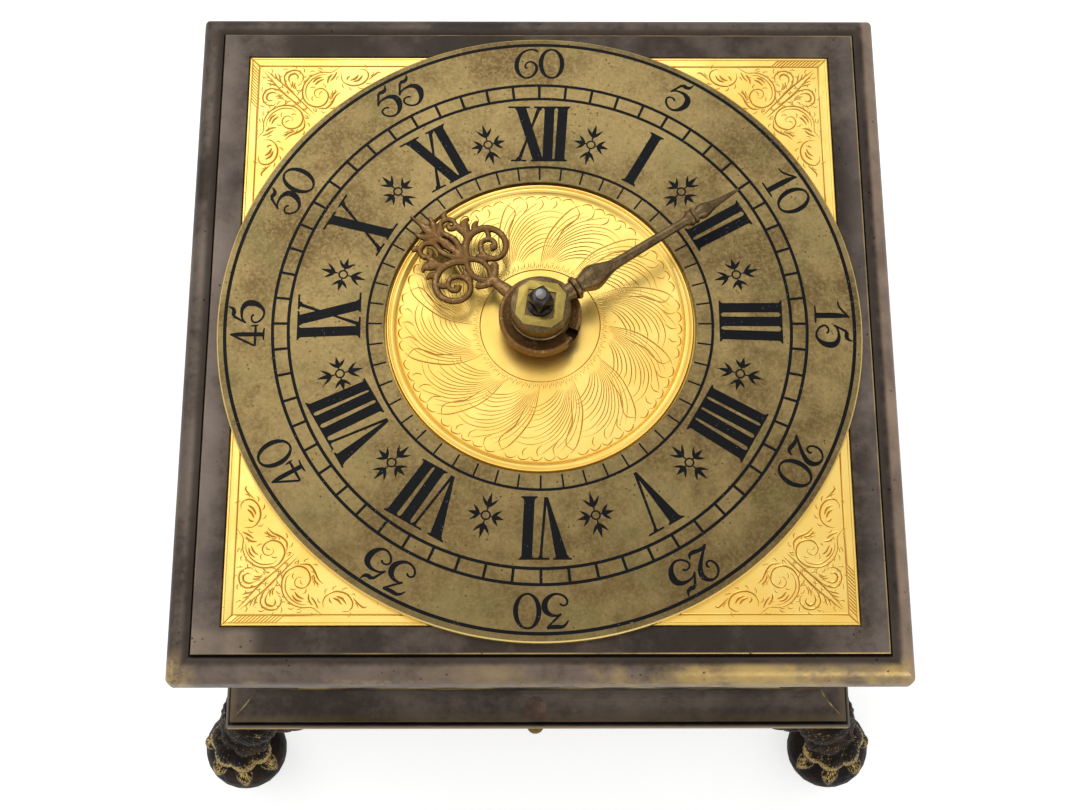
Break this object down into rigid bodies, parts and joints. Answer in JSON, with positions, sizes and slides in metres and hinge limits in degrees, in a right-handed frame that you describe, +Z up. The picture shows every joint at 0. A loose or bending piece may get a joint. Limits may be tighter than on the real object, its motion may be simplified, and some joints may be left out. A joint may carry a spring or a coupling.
{
  "type": "horizontal table clock",
  "caption": "Square horizontal table clock with a dial on top, glazed sides and claw feet; hands, wheel trains, bell hammer, bottom door and latch move.",
  "frame": {"origin": "on the surface that the feet stand on, under the middle of the dial", "axes": "+Z up, +Y towards the XII of the dial, -Y the front with the latch"},
  "size_m": [0.1468, 0.1468, 0.1162],
  "materials": {
    "frame_brass": "dark patina, worn bright on the edges",
    "base_brass": "dark patina",
    "case_brass": "aged, engraved",
    "foot_brass": "nearly black patina, bright on the high places",
    "door_brass": "aged gilt",
    "ring_brass": "aged, mottled",
    "gilt": "bright gilt, engraved",
    "wax": "black engraving wax",
    "hour_hand_brass": "brown patina, chased",
    "minute_hand_brass": "brown patina, turned",
    "collet_brass": "bright",
    "steel": "dark steel",
    "movement_brass": "gilt brass",
    "bell_metal": "cast bell metal",
    "glass": "clear window glass",
    "gut": "twisted gut"
  },
  "bodies": {
    "case": {"top_frame": "frame_brass", "wall_front": "case_brass", "wall_back": "case_brass", "wall_left": "case_brass", "wall_right": "case_brass", "corner_posts": "case_brass", "post_rods": "steel", "window_panes": "glass", "pane_frames": "case_brass", "base_frame": "base_brass", "foot_front_left": "foot_brass", "foot_front_right": "foot_brass", "foot_back_left": "foot_brass", "foot_back_right": "foot_brass", "foot_studs": "steel", "door_hinge_pin": "steel", "latch_stud": "steel", "dial_plate": "gilt", "dial_screws": "steel", "chapter_ring": "ring_brass", "wax_filling": "wax", "ring_feet": "movement_brass", "centre_disc": "gilt", "motion_post": "steel", "upper_plate": "movement_brass", "lower_plate": "movement_brass", "pillars": "movement_brass", "dial_posts": "movement_brass", "barrel_arbor": "steel", "gut_line": "gut", "crown_brackets": "movement_brass", "balance_cock": "movement_brass", "strike_arbor": "steel"},
    "door": {"bottom_door": "door_brass", "bell_post": "door_brass", "bell": "bell_metal", "bell_nut": "steel"},
    "latch_body": {"latch": "door_brass"},
    "minute": {"cannon_pinion": "movement_brass", "minute_hand": "minute_hand_brass", "minute_collet": "collet_brass", "centre_arbor": "steel"},
    "hour": {"hour_wheel": "movement_brass", "hour_hand": "hour_hand_brass"},
    "motion": {"minute_wheel": "movement_brass"},
    "barrel": {"going_barrel": "movement_brass", "mainspring": "steel"},
    "fusee_body": {"fusee": "movement_brass", "great_wheel": "movement_brass"},
    "centre": {"centre_wheel": "movement_brass"},
    "third": {"third_wheel": "movement_brass"},
    "contrate": {"contrate_wheel": "movement_brass"},
    "crown": {"crown_wheel": "movement_brass"},
    "balance": {"balance_wheel": "movement_brass", "verge_staff": "steel"},
    "strike": {"strike_barrel": "movement_brass"},
    "pin": {"pin_wheel": "movement_brass"},
    "lock": {"locking_wheel": "movement_brass"},
    "fly_body": {"fly": "movement_brass"},
    "hammer_body": {"hammer": "steel"}
  },
  "joints": [
    {"name": "minute_turn", "type": "hinge", "parent": "case", "child": "minute", "pos_m": [0, 0, 0.075], "axis": [0, 0, 1], "continuous": true},
    {"name": "hour_turn", "type": "hinge", "parent": "case", "child": "hour", "pos_m": [0, 0, 0.075], "axis": [0, 0, 1], "continuous": true},
    {"name": "motion_turn", "type": "hinge", "parent": "case", "child": "motion", "pos_m": [-0.01128, -0.0041, 0.075], "axis": [0, 0, 1], "continuous": true},
    {"name": "contrate_turn", "type": "hinge", "parent": "case", "child": "contrate", "pos_m": [0.02264, 0.01456, 0.075], "axis": [0, 0, 1], "continuous": true},
    {"name": "third_turn", "type": "hinge", "parent": "case", "child": "third", "pos_m": [0.00878, 0.01651, 0.075], "axis": [0, 0, 1], "continuous": true},
    {"name": "centre_turn", "type": "hinge", "parent": "case", "child": "centre", "pos_m": [0, 0, 0.075], "axis": [0, 0, 1], "continuous": true},
    {"name": "fusee_turn", "type": "hinge", "parent": "case", "child": "fusee_body", "pos_m": [0.01671, -0.01671, 0.075], "axis": [0, 0, 1], "continuous": true},
    {"name": "barrel_turn", "type": "hinge", "parent": "case", "child": "barrel", "pos_m": [-0.0195, -0.0195, 0.075], "axis": [0, 0, 1], "continuous": true},
    {"name": "crown_turn", "type": "hinge", "parent": "case", "child": "crown", "pos_m": [0.02264, 0.02976, 0.07686], "axis": [0, 1, 0], "continuous": true},
    {"name": "lock_turn", "type": "hinge", "parent": "case", "child": "lock", "pos_m": [0.00303, 0.03825, 0.075], "axis": [0, 0, 1], "continuous": true},
    {"name": "pin_turn", "type": "hinge", "parent": "case", "child": "pin", "pos_m": [-0.0105, 0.03332, 0.075], "axis": [0, 0, 1], "continuous": true},
    {"name": "strike_turn", "type": "hinge", "parent": "case", "child": "strike", "pos_m": [-0.0205, 0.016, 0.075], "axis": [0, 0, 1], "continuous": true},
    {"name": "fly_turn", "type": "hinge", "parent": "case", "child": "fly_body", "pos_m": [0.01356, 0.04208, 0.075], "axis": [0, 0, 1], "continuous": true},
    {"name": "balance_swing", "type": "hinge", "parent": "case", "child": "balance", "pos_m": [0.02264, 0.03426, 0.075], "axis": [0, 0, 1], "range_deg": [-50, 50]},
    {"name": "hammer_swing", "type": "hinge", "parent": "case", "child": "hammer_body", "pos_m": [-0.036, 0.035, 0.075], "axis": [0, 0, 1], "range_deg": [-14, 0], "stiffness_Nm_per_rad": 0.02, "springref_deg": 2.86},
    {"name": "door_hinge", "type": "hinge", "parent": "case", "child": "door", "pos_m": [0, 0.05245, 0.0354], "axis": [1, 0, 0], "range_deg": [0, 100]},
    {"name": "latch_turn", "type": "hinge", "parent": "case", "child": "latch_body", "pos_m": [-0.0006, -0.0608, 0.035], "axis": [0, 0, 1], "range_deg": [0, 90]}
  ],
  "couplings": [
    {"joint": "hour_turn", "follows": "minute_turn", "ratio": 0.083333},
    {"joint": "motion_turn", "follows": "minute_turn", "ratio": -0.33333},
    {"joint": "third_turn", "follows": "contrate_turn", "ratio": -0.16667},
    {"joint": "centre_turn", "follows": "contrate_turn", "ratio": 0.022222},
    {"joint": "fusee_turn", "follows": "contrate_turn", "ratio": -0.0037037},
    {"joint": "barrel_turn", "follows": "contrate_turn", "ratio": -0.002301},
    {"joint": "crown_turn", "follows": "contrate_turn", "ratio": 6},
    {"joint": "pin_turn", "follows": "lock_turn", "ratio": -0.14286},
    {"joint": "strike_turn", "follows": "lock_turn", "ratio": 0.015873},
    {"joint": "fly_turn", "follows": "lock_turn", "ratio": -6}
  ]
}
